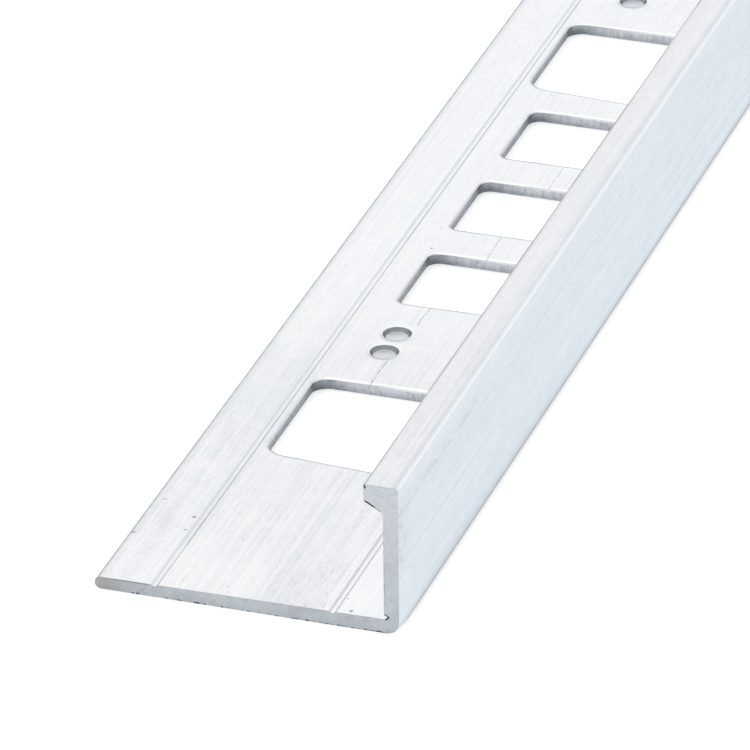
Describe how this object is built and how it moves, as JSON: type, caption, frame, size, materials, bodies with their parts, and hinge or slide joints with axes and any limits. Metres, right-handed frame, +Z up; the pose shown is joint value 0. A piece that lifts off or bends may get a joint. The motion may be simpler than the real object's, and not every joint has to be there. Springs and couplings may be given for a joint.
{
  "type": "tile edge trim",
  "caption": "Aluminium angle trim for a tile edge: punched anchoring leg, upright wall with a thick head that finishes the edge.",
  "frame": {"origin": "middle of the underside of the punched leg: half way along the length, half way between free edge and wall face", "axes": "+Y along the length, +X from the leg's free edge towards the wall's outer face, +Z up from the leg to the head"},
  "size_m": [0.0216, 1, 0.011],
  "materials": {
    "aluminium": "mill finish, satin with fine lines along the length"
  },
  "bodies": {
    "root": {"edge_trim": "aluminium"}
  },
  "joints": []
}
